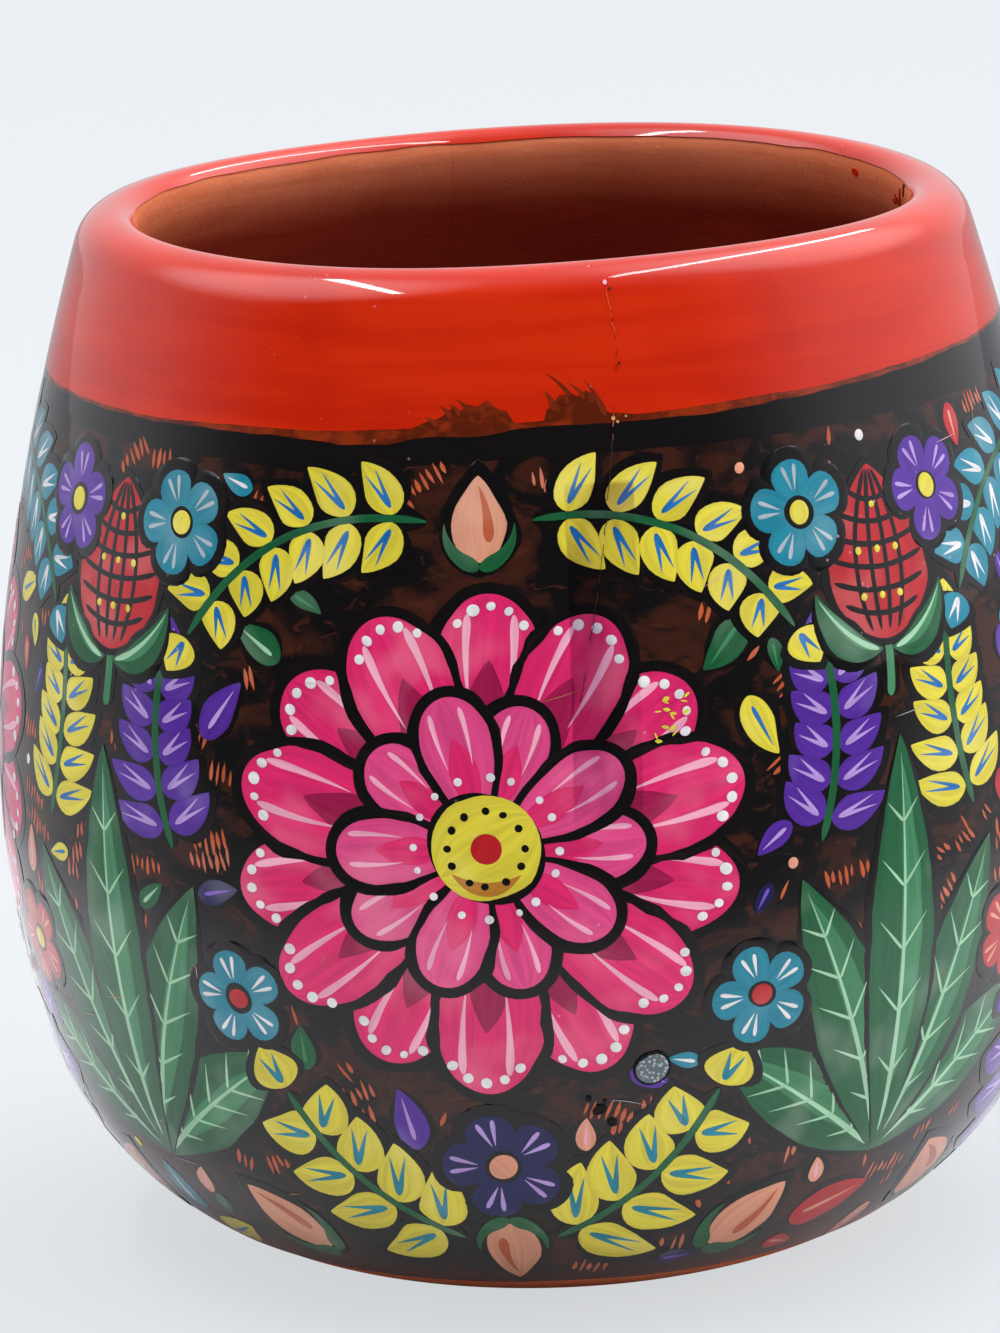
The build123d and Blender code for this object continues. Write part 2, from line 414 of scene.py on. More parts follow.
class Coat:
    def __init__(self, name):
        self.name = name
        self.bm = bmesh.new()
        self.brush = self.bm.loops.layers.uv.new("brush")
        self.stroke = self.bm.loops.layers.uv.new("stroke")
        self.pigment = self.bm.verts.layers.float_color.new("pigment")

    def grid(self, along, across, place, pigment, size, shift=(0.0, 0.0)):
        made = bmesh.ops.create_grid(self.bm, x_segments=along, y_segments=across, size=0.5)["verts"]
        where = {}
        for vert in made:
            t, v = vert.co.x + 0.5, vert.co.y + 0.5
            where[vert] = (t, v)
            vert.co = place(t, v)
            vert[self.pigment] = pigment
        for face in {face for vert in made for face in vert.link_faces}:
            for loop in face.loops:
                t, v = where[loop.vert]
                loop[self.stroke].uv = (t, v)
                loop[self.brush].uv = (t * size[0] + shift[0], v * size[1] + shift[1])

    def piece(self, material, thickness, nodes=(), slot=None, closed=False):
        bmesh.ops.remove_doubles(self.bm, verts=self.bm.verts, dist=(0.01 if closed else 0.0005) * mm)
        for edge in self.bm.edges:
            edge.smooth = not edge.is_boundary
        for face in self.bm.faces:
            face.smooth = True
        made = addMesh(self.name, self.bm, material)
        film = made.modifiers.new("film", "SOLIDIFY")
        film.thickness, film.offset, film.use_rim = thickness, -1.0, True
        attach(made, "root")
        if nodes:
            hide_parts(*nodes)
        print(self.name, len(made.data.polygons), "faces")


rand = random.Random(1863)
brushwork = {"firstLift": 0.045 * mm, "layer": 0.010 * mm, "cell": 1.2, "mostRows": 72, "mostColumns": 12,
             "tint": 0.05, "widthWaves": 0.25, "swayWaves": 0.12, "edgeLift": 0.35, "edgeShare": 0.16}
smallLeaf, largeLeaf = (12, 4), (14, 8)  # rows and columns of a stroke that is painted many times


def roundEnd(share):  # how full a round end is, from 0 at its tip
    return math.sqrt(max(0.0, 1 - (1 - share) ** 2))


strokeShapes = {  # share of the width, from the start of a stroke to its end
    "almond": lambda t: math.sin(math.pi * t) ** 0.85,
    "petal": lambda t: (roundEnd((1 - t) / 0.36) if t > 0.64
                        else 0.34 + 0.66 * math.sin(math.pi / 2 * t / 0.64)),
    "comma": lambda t: roundEnd(t / 0.2) if t < 0.2 else (1 - (t - 0.2) / 0.8) ** 0.75,
    "drop": lambda t: max(0.0, math.sin(math.pi * t ** 0.72)) ** 0.8,
    "line": lambda t: math.sqrt(max(0.0, min(1.0, t / 0.07, (1 - t) / 0.07))),
    "disc": lambda t: roundEnd(2 * t),
}


def curve(points, t):  # Bezier curve
    points = list(points)
    while len(points) > 1:
        points = [(a[0] + (b[0] - a[0]) * t, a[1] + (b[1] - a[1]) * t) for a, b in zip(points, points[1:])]
    return points[0]


def curvePart(points, *shares):
    return [curve(points, t) for t in shares]


def polar(radius, degrees):  # clockwise from straight up
    return radius * math.sin(math.radians(degrees)), radius * math.cos(math.radians(degrees))


class Spot:  # where a motif is painted: azimuth and turn in degrees, and the motif's own millimetres
    def __init__(self, azimuth, height, turn=0.0, mirror=False):
        self.azimuth, self.height = math.radians(azimuth), height
        self.cos, self.sin = math.cos(math.radians(turn)), math.sin(math.radians(turn))
        self.flip = -1.0 if mirror else 1.0

    def at(self, x, y, lift=0.0):  # x to the right and y up, seen square on
        x, y = x * mm * self.flip, y * mm
        x, y = x * self.cos - y * self.sin, x * self.sin + y * self.cos
        row = bodyAt(self.height + y)
        return onPot(self.azimuth + math.asin(min(max(x / row[0], -0.99), 0.99)), row, lift)


def paintStroke(coat, spot, points, width, colour, layer, shape="almond", wander=0.06, dome=0.0, cells=None,
                thinEdge=False):
    tint = rand.uniform(1 - brushwork["tint"], 1 + brushwork["tint"])
    hue = [part * tint for part in pigments[colour][:3]]
    length = sum(math.hypot(b[0] - a[0], b[1] - a[1]) for a, b in zip(points, points[1:]))
    seed = Vector((rand.uniform(0, 90), rand.uniform(0, 90), 0))
    outline = strokeShapes[shape]
    base = brushwork["firstLift"] + layer * brushwork["layer"]
    thin = brushwork["edgeLift"]

    def place(t, v):
        t = 0.5 - 0.5 * math.cos(math.pi * t)  # closer rows at both ends
        x, y = curve(points, t)
        ahead, behind = curve(points, min(t + 0.01, 1.0)), curve(points, max(t - 0.01, 0.0))
        dx, dy = ahead[0] - behind[0], ahead[1] - behind[1]
        far = max(math.hypot(dx, dy), 1e-9) * spot.flip
        side = 2 * v - 1
        swell = noise.noise(seed + Vector((t * length * brushwork["widthWaves"], side * 1.5, 0)))
        sway = noise.noise(seed + Vector((t * length * brushwork["swayWaves"], 40, 0)))
        off = 0.5 * width * (side * outline(t) * (1 + 2 * wander * swell) + wander * sway)
        lift = base + dome * mm * (1 - side * side) * math.sqrt(outline(t))
        if thinEdge:
            lift *= thin + (1 - thin) * smoothStep(1 - abs(side), 0.0, brushwork["edgeShare"])
        return spot.at(x - dy / far * off, y + dx / far * off, lift)

    if cells is None:
        rows, columns = round(length / brushwork["cell"]) + 3, round(width / brushwork["cell"])
        cells = (max(6, min(brushwork["mostRows"], rows)), max(2, min(brushwork["mostColumns"], columns)))
    shift = (rand.uniform(0, 9), rand.uniform(0, 9))
    coat.grid(cells[0], cells[1], place, (*hue, 1.0), (length * mm, width * mm), shift)


def paintOutlined(ink, coat, spot, points, width, edge, colour, layer, shape, over=1, around=None,
                  thinEdge=False, **brush):  # a stroke of colour over a wider one of ink
    inkWidth = width + 2 * edge
    paintStroke(ink, spot, around or points, inkWidth, "ink", layer, shape, thinEdge=thinEdge, **brush)
    paintStroke(coat, spot, points, width, colour, layer + over, shape, **brush)


dot = {"smallBelow": 4, "smallCells": (6, 4), "largeCells": (18, 12), "fullDome": 2.4, "wander": 0.03}


def paintDot(coat, spot, x, y, across, colour, layer, dome=0.14):
    squash, turn = rand.uniform(0.86, 1.12), rand.uniform(0, math.pi)
    dx, dy = 0.5 * across * math.cos(turn), 0.5 * across * math.sin(turn)
    cells = dot["smallCells"] if across < dot["smallBelow"] else dot["largeCells"]
    dome *= min(1.0, across / dot["fullDome"])
    ends = [(x - dx, y - dy), (x + dx, y + dy)]
    paintStroke(coat, spot, ends, across * squash, colour, layer, "disc", dot["wander"], dome, cells)


petalInk, leafInk = Coat("petalLines"), Coat("leafLines")
frondInk, budInk = Coat("frondLines"), Coat("budLines")
petals, eyes, leaves = Coat("blossomPetals"), Coat("blossomEyes"), Coat("leafSprays")
fronds, florets, buds, dots = Coat("fronds"), Coat("florets"), Coat("coneBuds"), Coat("dots")
covered = []  # azimuth in degrees, height, and radius in millimetres, of what is painted


def azimuthOf(place):  # degrees
    return math.degrees(math.atan2(place.x, -place.y))


def cover(spot, x, y, radius):
    where = spot.at(x, y)
    covered.append((azimuthOf(where), where.z, radius))


# blossoms: two rings of petals and a dotted eye
blossom = {"count": 4, "first": -16.0, "rise": 9.0, "outline": 1.9,
           "petals": 14, "root": 11.0, "tip": 45.0, "width": 17.6,
           "innerPetals": 10, "innerRoot": 6, "innerTip": 26.5, "innerWidth": 12.0, "innerLayer": 8,
           "overlap": 4, "edgeDots": [(-8.4, 2.4), (-4.3, 0.4), (0, -0.3), (4.3, 0.4), (8.4, 2.4)],
           "dotInset": 2.4, "dotLayer": 8, "ringDots": 16, "ring": 12.6,
           "eye": 9.5, "pupil": 5.4, "eyeDots": 12, "eyeRing": 6.7, "eyeLayer": 16}
petal = {"lean": 4, "wander": 0.04, "shadow": (0.35, 0.66), "shadowWidth": 0.42,
         "shine": [(0.10, 0.8), (0.3, 1.1), (0.58, 1.1)], "shineSide": 0.30, "shineWidth": 0.085}


def paintPetal(spot, turn, root, tip, wide, hue, shade, glow, layer):
    lean, reach, edge = rand.uniform(-petal["lean"], petal["lean"]), tip - root, blossom["outline"]
    middle = polar((root + tip) / 2, turn + lean)
    line = [polar(root, turn), middle, polar(tip, turn)]
    around = [polar(root - 1, turn), middle, polar(tip + edge, turn)]
    paintOutlined(petalInk, petals, spot, line, wide, edge, hue, layer, "petal", around=around,
                  wander=petal["wander"])
    half, end = (root + reach * share for share in petal["shadow"])
    shadow = [polar(root + 0.5, turn), polar(half, turn + lean), polar(end, turn)]
    paintStroke(petals, spot, shadow, wide * petal["shadowWidth"], shade, layer + 2)
    for side in (-1, 1):
        spread = side * math.degrees(petal["shineSide"] * wide / tip)
        shine = [polar(tip - reach * down, turn + spread * share) for down, share in petal["shine"]]
        paintStroke(petals, spot, shine, wide * petal["shineWidth"], glow, layer + 2.6, "comma")


def paintBlossom(spot, outer, shade, inner, glow):
    step, innerStep = 360 / blossom["petals"], 360 / blossom["innerPetals"]
    for first in (0, 1):  # every other petal lies over its neighbours
        layer = blossom["overlap"] * first
        for i in range(first, blossom["petals"], 2):
            turn, tip = i * step + rand.uniform(-1.5, 1.5), blossom["tip"] + rand.uniform(-1.4, 0.4)
            wide = blossom["width"] * rand.uniform(0.95, 1.04)
            paintPetal(spot, turn, blossom["root"], tip, wide, outer, shade, glow, layer)
            for side, back in blossom["edgeDots"]:
                x, y = polar(tip - blossom["dotInset"] - back, turn + side)
                paintDot(dots, spot, x, y, rand.uniform(1.5, 2.1), "white", blossom["dotLayer"])
    for first in (0, 1):
        layer = blossom["innerLayer"] + blossom["overlap"] * first
        for i in range(first, blossom["innerPetals"], 2):
            turn = (i + 0.5) * innerStep + rand.uniform(-3, 3)
            tip = blossom["innerTip"] + rand.uniform(-1, 1)
            root, wide = blossom["innerRoot"], blossom["innerWidth"]
            paintPetal(spot, turn, root, tip, wide, inner, outer, glow, layer)
    layer = blossom["eyeLayer"]
    paintDot(petalInk, spot, 0, 0, 2 * blossom["eye"] + 2.6, "ink", layer, 0.0)
    paintDot(eyes, spot, 0, 0, 2 * blossom["eye"], "yellow", layer + 1, 0.0)
    paintStroke(eyes, spot, [(-6, -4.5), (0, -10), (6, -4.5)], 2.6, "ochre", layer + 2)
    for i in range(blossom["eyeDots"]):
        x, y = polar(blossom["eyeRing"], i * 360 / blossom["eyeDots"] + rand.uniform(-5, 5))
        paintDot(petalInk, spot, x, y, 1.4, "ink", layer + 3, 0.05)
    paintDot(eyes, spot, 0, 0, blossom["pupil"], "red", layer + 3, 0.06)
    for i in range(blossom["ringDots"]):
        x, y = polar(blossom["ring"], i * 360 / blossom["ringDots"] + rand.uniform(-4, 4))
        paintDot(dots, spot, x, y, rand.uniform(1.2, 1.7), "white", layer + 1)
    cover(spot, 0, 0, blossom["tip"] + 2.5)


# leaves with a light half and pale veins, five to a spray
leaf = {"outline": 2.2, "wander": 0.03, "lightRun": (0.14, 0.5, 0.94), "lightSide": 0.24, "lightWidth": 0.34,
        "midribRun": (0.05, 0.5, 0.96), "midrib": 1.1, "vein": 0.65, "firstVein": 0.2, "veinRun": 0.6,
        "veinReach": 0.38, "veinLean": 1.1, "veinCells": (5, 2),
        "coverRun": (0.05, 0.2, 0.35, 0.5, 0.65, 0.8, 0.95), "coverEdge": 1.5}
spray = {"drop": 57.0, "width": 15.0, "veins": 5,  # turn in degrees, length and layer of each leaf
         "leaves": [(-54.0, 44.0, 0), (54.0, 44.0, 0), (-22.0, 60.0, 4), (22.0, 60.0, 4), (0, 78.0, 8)]}


def paintLeaf(spot, points, width, layer, veins=0):
    almond = strokeShapes["almond"]
    paintOutlined(leafInk, leaves, spot, points, width, leaf["outline"], "green", layer, "almond",
                  thinEdge=True, wander=leaf["wander"])
    lightHalf = curvePart(points, *leaf["lightRun"])
    lightHalf[1] = (lightHalf[1][0] + width * leaf["lightSide"], lightHalf[1][1])
    paintStroke(leaves, spot, lightHalf, width * leaf["lightWidth"], "leafLight", layer + 2)
    midrib = curvePart(points, *leaf["midribRun"])
    paintStroke(leaves, spot, midrib, leaf["midrib"], "paleGreen", layer + 3, "comma")
    for i in range(veins):
        t = leaf["firstVein"] + leaf["veinRun"] * i / max(veins - 1, 1)
        (x, y), ahead = curvePart(points, t, t + 0.04)
        far = math.hypot(ahead[0] - x, ahead[1] - y)
        dx, dy = (ahead[0] - x) / far, (ahead[1] - y) / far
        reach, lean = width * leaf["veinReach"] * almond(t), leaf["veinLean"]
        for side in (-1, 1):
            tip = (x + (dx * lean - side * dy) * reach, y + (dy * lean + side * dx) * reach)
            paintStroke(leaves, spot, [(x, y), tip], leaf["vein"], "paleGreen", layer + 3, "comma",
                        cells=leaf["veinCells"])
    for t in leaf["coverRun"]:
        cover(spot, *curve(points, t), leaf["coverEdge"] + width * 0.5 * almond(t))


def paintSpray(spot):
    for turn, length, layer in spray["leaves"]:
        middle = polar(length * 0.5, turn * 0.9 + rand.uniform(-2, 2))
        paintLeaf(spot, [(0, 0), middle, polar(length, turn)], spray["width"], layer, spray["veins"])


# closed flower heads with a netted front, on short stalks
coneBud = {"stalk": [(0, -22), (0.8, -16), (0, -8)], "stalkWidth": 1.8, "stalkEdge": 1.1,
           "head": [(0, -12), (0, 4), (0, 18)], "headInk": [(0, -13.2), (0, 4), (0, 19.4)], "half": 11.4,
           "headEdge": 1.4, "wander": 0.03, "net": 0.95,
           "rings": (0.16, 0.29, 0.42, 0.55, 0.68, 0.81), "ribs": (-0.6, -0.2, 0.2, 0.6),
           "seeds": [(-0.4, 0.24), (0, 0.24), (0.4, 0.24), (-0.4, 0.5), (0, 0.5), (0.4, 0.5), (0, 0.76)],
           "cup": [(1.0, -13.5), (11, -15), (14.5, -3)], "cupWidth": 5.8}


def paintConeBud(spot, layer):
    drop, head, half = strokeShapes["drop"], coneBud["head"], coneBud["half"]
    paintOutlined(budInk, leaves, spot, coneBud["stalk"], coneBud["stalkWidth"], coneBud["stalkEdge"],
                  "leafLight", layer, "line")
    paintOutlined(budInk, buds, spot, head, 2 * half, coneBud["headEdge"], "red", layer + 2, "drop",
                  around=coneBud["headInk"], wander=coneBud["wander"])
    for t in coneBud["rings"]:
        y, wide = curve(head, t)[1], 0.94 * half * drop(t)
        ring = [(-wide, y + 1.4), (0, y - 2.6), (wide, y + 1.4)]
        paintStroke(budInk, spot, ring, coneBud["net"], "ink", layer + 4, "line")
    for share in coneBud["ribs"]:
        rib = [(share * half * drop(t), curve(head, t)[1]) for t in (0.05, 0.36, 0.66, 0.97)]
        paintStroke(budInk, spot, rib, coneBud["net"], "ink", layer + 4.6, "line")
    for share, t in coneBud["seeds"]:
        paintDot(dots, spot, share * half * drop(t), curve(head, t)[1], 1.3, "yellow", layer + 5)
    for side in (-1, 1):
        cup = [(side * x, y) for x, y in coneBud["cup"]]
        paintLeaf(spot, cup, coneBud["cupWidth"], layer + 5)
    cover(spot, 0, 4, 15)
    cover(spot, 0, -13, 12)


# fronds: leaflets in pairs along a stem, each combed with two fine strokes
frond = {"stem": 1.3, "stemEdge": 1.55, "outline": 1.7, "tipInk": 1.6, "largeFrom": 8, "firstPair": 0.10,
         "shorter": 0.35, "spread": 58, "closing": 12, "bow": 0.12, "comb": (-0.16, 0.16), "combWidth": 0.13,
         "combRun": (0.12, 0.80), "combCells": (8, 2), "coverRun": (0, 0.15, 0.5, 0.85, 1),
         "coverRadius": 3.6}


def paintFrond(spot, colour, comb, stem, leaflet, width, count, layer):
    paintOutlined(frondInk, fronds, spot, stem, frond["stem"], frond["stemEdge"], "green", layer, "line", 3)
    for t in frond["coverRun"]:
        cover(spot, *curve(stem, t), frond["coverRadius"])
    cells = smallLeaf if width < frond["largeFrom"] else largeLeaf
    for i in range(count + 1):
        t = frond["firstPair"] + (1 - frond["firstPair"]) * i / count
        (x, y), ahead, behind = curvePart(stem, t, min(t + 0.02, 1.0), t - 0.02)
        heading = math.atan2(ahead[1] - behind[1], ahead[0] - behind[0])
        long = leaflet * (1.0 - frond["shorter"] * t) * rand.uniform(0.94, 1.06)
        for side in ((-1, 1) if i < count else (0,)):
            angle = frond["spread"] - frond["closing"] * t + rand.uniform(-4, 4)
            angle = heading + side * math.radians(angle)
            dx, dy = math.cos(angle), math.sin(angle)
            bend = side * frond["bow"] * long
            bow = (x + dx * long * 0.5 - dy * bend, y + dy * long * 0.5 + dx * bend)
            root, tip, inkTip = ((x + dx * far, y + dy * far) for far in (0.8, long, long + frond["tipInk"]))
            line = [root, bow, tip]
            paintOutlined(frondInk, fronds, spot, line, width, frond["outline"], colour, layer, "drop",
                          around=[root, bow, inkTip], cells=cells)
            start, end = curvePart(line, *frond["combRun"])
            for share in frond["comb"]:
                hair = [start, (end[0] - dy * share * width, end[1] + dx * share * width)]
                paintStroke(fronds, spot, hair, width * frond["combWidth"], comb, layer + 2, "comma",
                            cells=frond["combCells"])
            cover(spot, x + dx * long * 0.6, y + dy * long * 0.6, long * 0.4)


# small flowers, and drop-shaped buds in a green cup
floret = {"petals": 5, "inkReach": 1.9, "inkShare": 0.84, "inkEdge": 3.6, "width": 0.8, "wander": 0.05,
          "hairSide": 9, "hairWidth": 0.09, "hairCells": (6, 2), "heartInk": 0.6, "heart": 0.44}


def paintFloret(spot, size, colour, light, heart, layer):
    step = 360 / floret["petals"]
    for i in range(floret["petals"]):
        turn = i * step + rand.uniform(-4, 4)
        tip = polar(size * rand.uniform(0.96, 1.04), turn)
        around = [(0, 0), polar(size + floret["inkReach"], turn)]
        inkWidth = size * floret["inkShare"] + floret["inkEdge"]
        paintStroke(budInk, spot, around, inkWidth, "ink", layer, "petal", thinEdge=True)
        line, over = [polar(1.0, turn), tip], layer + 1 + 0.3 * (i % 2)
        wide = size * floret["width"]
        paintStroke(florets, spot, line, wide, colour, over, "petal", floret["wander"])
        for side in (-floret["hairSide"], floret["hairSide"]):
            hair = [polar(size * 0.88, turn + side), polar(size * 0.4, turn + side * 0.4)]
            paintStroke(florets, spot, hair, size * floret["hairWidth"], light, layer + 2.4, "comma",
                        cells=floret["hairCells"])
    paintDot(budInk, spot, 0, 0, size * floret["heartInk"], "ink", layer + 3.2, 0.0)
    paintDot(eyes, spot, 0, 0, size * floret["heart"], heart, layer + 4, 0.08)
    cover(spot, 0, 0, size + 1.6)


pod = {"outline": 2.1, "tipInk": 2, "width": 1.2, "body": [(0, -0.93), (0, 0), (0, 0.9)],
       "streak": [(0.2, -0.5), (0.24, 0.1), (0, 0.7)], "streakWidth": 0.24,
       "cup": [(0, -1.05), (0.8, -0.8), (0.75, -0.1)], "cupWidth": 0.34}  # shares of a pod's size


def paintPod(spot, size, colour, streak, layer):
    far, wide = size + pod["tipInk"], size * pod["width"]
    body, line = ([(x * size, y * size) for x, y in pod[name]] for name in ("body", "streak"))
    paintOutlined(budInk, buds, spot, body, wide, pod["outline"], colour, layer, "drop", 1.6,
                  around=[(0, -far), (0, 0), (0, far)], thinEdge=True)
    paintStroke(buds, spot, line, size * pod["streakWidth"], streak, layer + 2.6, "comma")
    for side in (-1, 1):
        cup = [(side * x * size, y * size) for x, y in pod["cup"]]
        paintStroke(leaves, spot, cup, size * pod["cupWidth"], "green", layer + 3.6, "comma")
    cover(spot, 0, 0, size + 1.4)


# a sector: one blossom and what grows round it, so many millimetres up and so many degrees aside
sector = {
    "topPod": {"up": 56.5, "size": 8.0, "layer": 8},
    "lowPod": {"up": -80, "size": 8.0, "layer": 8},
    "sidePod": {"aside": 30, "up": -75, "turn": -40, "size": 9.0, "layer": 4},
    "lowFloret": {"up": -60, "size": 11.0, "layer": 8},
    "sideFlorets": [{"aside": 35.6, "up": 53, "size": 9.4, "layer": 12},
                    {"aside": 27.6, "up": -30, "size": 9.0, "layer": 8}],
    "fronds": [
        {"stem": [(9, 56), (37, 60), (53, 34)], "leaflet": 12.0, "width": 6.6, "count": 6, "layer": 4},
        {"stem": [(57, -4), (62, 13), (58, 29)], "leaflet": 11.5, "width": 6.2, "count": 5, "layer": 0},
        {"stem": [(8, -76), (27, -67), (38, -47)], "leaflet": 14.5, "width": 8.8, "count": 4, "layer": 4},
    ],
    "spray": 45, "coneBud": {"up": 50, "layer": 4},
}
sectorColours = [
    {"frondColours": [("yellow", "blue"), ("purple", "lilac"), ("yellow", "turquoise")],
     "floretColours": [("turquoise", "grey", "yellow"), ("turquoise", "white", "red")],
     "lowFloret": ("navy", "lilac", "peach"), "topPod": ("peach", "terracotta")},
    {"frondColours": [("turquoise", "white"), ("yellow", "blue"), ("purple", "lilac")],
     "floretColours": [("purple", "lilac", "yellow"), ("red", "peach", "yellow")],
     "lowFloret": ("turquoise", "grey", "red"), "topPod": ("yellow", "ochre")},
]
lowPodColours = ("peach", "terracotta")


def paintSector(centre, frondColours, floretColours, lowFloret, topPod):
    middle = bellyHeight + blossom["rise"] * mm

    def flower(item, colours, aside=0.0):
        place = Spot(centre + aside, middle + item["up"] * mm, rand.uniform(0, 72))
        paintFloret(place, item["size"], *colours, item["layer"])

    def bud(item, colours, aside=0.0, turn=0.0):
        place = Spot(centre + aside, middle + item["up"] * mm, turn)
        paintPod(place, item["size"], *colours, item["layer"])

    paintBlossom(Spot(centre, middle, rand.uniform(-6, 6)), "pink", "magenta", "rose", "blush")
    bud(sector["topPod"], topPod)
    flower(sector["lowFloret"], lowFloret)
    bud(sector["lowPod"], lowPodColours, turn=180)
    for side in (1, -1):
        here = Spot(centre, middle, 0, side < 0)
        for item, colours in zip(sector["fronds"], frondColours):
            paintFrond(here, *colours, **item)
        for item, colours in zip(sector["sideFlorets"], floretColours):
            flower(item, colours, side * item["aside"])
        item = sector["sidePod"]
        bud(item, lowPodColours, side * item["aside"], side * item["turn"])
    between = centre + sector["spray"]
    paintSpray(Spot(between, bellyHeight - spray["drop"] * mm))
    item = sector["coneBud"]
    paintConeBud(Spot(between, bellyHeight + item["up"] * mm, rand.uniform(-4, 4)), item["layer"])


for index in range(blossom["count"]):
    centre = blossom["first"] + index * 360 / blossom["count"]
    paintSector(centre, **sectorColours[index % len(sectorColours)])
print("motifs laid,", len(covered), "places covered")


# what is left between the motifs: single leaves where they fit, then dots, then hatching in the clay's colour
lineBox, rimBox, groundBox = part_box("shoulder_line"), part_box("rim_paint"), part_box("ground_wash")
fillers = {"tries": 5000, "low": 11 * mm, "high": lineBox[0].z - 1 * mm, "largest": 11.0, "leafRoom": 5.0,
           "dropRoom": 2.6, "dropsFrom": 0.5, "dotRoom": 1.7, "dotsFrom": 0.7, "dot": 2.0, "outline": 1.3,
           "veinCells": (10, 2)}
fillColours = [("green", "leafLight"), ("turquoise", "white"), ("purple", "lilac"), ("peach", "blush"),
               ("navy", "violet"), ("yellow", "blue"), ("red", "peach"), ("green", "paleGreen")]
dotColours = ["white", "white", "yellow", "peach"]


def roomAt(azimuth, height, enough):
    radius = bodyAt(height)[0] / mm
    room = min((height - groundBox[0].z) / mm, (lineBox[0].z - height) / mm)
    for otherAzimuth, otherHeight, size in covered:
        down = (height - otherHeight) / mm
        if abs(down) - size < room:
            across = math.radians(math.remainder(azimuth - otherAzimuth, 360)) * radius
            room = min(room, math.hypot(across, down) - size)
            if room < enough:
                break
    return room


for turn in range(fillers["tries"]):
    azimuth, height = rand.uniform(-180, 180), rand.uniform(fillers["low"], fillers["high"])
    done = turn / fillers["tries"]
    room = roomAt(azimuth, height, fillers["dotRoom"])
    spot = Spot(azimuth, height, rand.uniform(0, 360))
    if room > (fillers["leafRoom"] if done < fillers["dropsFrom"] else fillers["dropRoom"]):
        size = min(room * 1.1, fillers["largest"])
        colour, light = rand.choice(fillColours)
        points = [(0, -size), (rand.uniform(-0.3, 0.3) * size, 0), (0, size)]
        wide = size * rand.uniform(0.9, 1.15)
        cells = smallLeaf if size < fillers["leafRoom"] else largeLeaf
        paintOutlined(frondInk, fronds, spot, points, wide, fillers["outline"], colour, 0, "drop", 1.6,
                      thinEdge=True, cells=cells)
        vein = curvePart(points, 0.16, 0.86)
        paintStroke(fronds, spot, vein, 0.5 + size * 0.07, light, 2.6, "comma", cells=fillers["veinCells"])
        cover(spot, 0, 0, size * 0.92)
    elif room > fillers["dotRoom"] and done > fillers["dotsFrom"] and turn % 3 == 0:
        paintDot(dots, spot, 0, 0, fillers["dot"], rand.choice(dotColours), 1)
        cover(spot, 0, 0, 2 * fillers["dot"])
print("gaps filled,", len(covered), "places covered")

patches = Coat("clayPatches")
hatching = {"tries": 3600, "room": 0.6, "pitch": 1.35, "order": (0, -1, 1, -2, 2, -3, 3), "layer": -1.6,
            "bareUnder": -0.1, "bareSize": 1.9, "turn": 75, "turnSize": 2.6, "turnSeed": Vector((5, 5, 5)),
            "cells": (6, 2)}
for turn in range(hatching["tries"]):
    azimuth, height = rand.uniform(-180, 180), rand.uniform(fillers["low"], fillers["high"])
    here = Vector((math.sin(math.radians(azimuth)), math.cos(math.radians(azimuth)), height * 10))
    if noise.noise(here * hatching["bareSize"]) < hatching["bareUnder"]:
        continue
    slant = hatching["turn"] * noise.noise(here * hatching["turnSize"] + hatching["turnSeed"])
    slant += rand.uniform(-9, 9)
    first = Spot(azimuth, height, slant)
    for row in hatching["order"]:
        where = first.at(row * hatching["pitch"], rand.uniform(-0.7, 0.7))
        azimuth, height = azimuthOf(where), where.z
        if roomAt(azimuth, height, hatching["room"]) < hatching["room"]:
            break
        spot = Spot(azimuth, height, slant + rand.uniform(-8, 8))
        long = rand.uniform(1.1, 2.3)
        points = [(0, -long), (rand.uniform(-0.3, 0.3), 0), (0, long)]
        wide, shape = rand.uniform(0.55, 0.95), rand.choice(["drop", "almond"])
        paintStroke(patches, spot, points, wide, "terracotta", hatching["layer"], shape,
                    cells=hatching["cells"])
        for share in (-0.7, 0.0, 0.7):
            cover(spot, 0, share * long, 0.5 * wide)
print("hatching laid,", len(covered), "places covered")


# base coats: dark ground, black line, and the red rim with the marks that its brush left
rimEdge = {"rise": 0.6 * mm, "tilt": 2.6 * mm, "ripple": 0.5 * mm, "innerRagged": 0.5 * mm,
           "red": [(-24, 0), (-21, 1.6), (-18.5, 3.6), (-15, 4.3), (-13, 2.6), (-11.8, 0.3), (-8.6, 0.2),
                   (-8.2, 2.2), (-6.8, 3.9), (-5, 4.0), (-3.5, 4.7), (-2.2, 3.0), (-1.2, 0.7), (2, 0)],
           "strip": [(-60, 0.6), (-40, 1.2), (-27, 2.6), (-21, 1.2), (-15, 1.3), (-11, 0.6), (0, 1.0),
                     (12, 1.5), (30, 0.9), (60, 0.6)],
           "line": [(-120, 0), (-46, -1.1), (-33, -2.1), (-20, -0.1), (-11, 0.7), (5, 0.7), (38, 0.7),
                    (120, 0)]}
bristles = {"foot": (-1.0, -0.5 * mm), "bow": (0.5, 0.4), "layer": 1.6,
            "marks": [(-6.8, 4.9, -10.9, 9.0, 0.8), (-9.8, 2.6, -11.3, 6.0, 1.3),  # start, tip and width
                      (-4.5, 4.3, -7.2, 7.2, 0.8), (-1.1, 1.4, -4.3, 7.4, 1.2),
                      (-3.0, 4.0, -3.6, 6.5, 0.8), (-7.7, 3.6, -8.0, 5.4, 0.9),
                      (-24.1, 3.0, -26.2, 5.2, 0.9), (-25.6, 2.4, -27.3, 4.5, 0.9),
                      (-27.1, 2.0, -28.8, 4.0, 1.0), (-29.4, 0.7, -31.5, 2.2, 1.0)]}
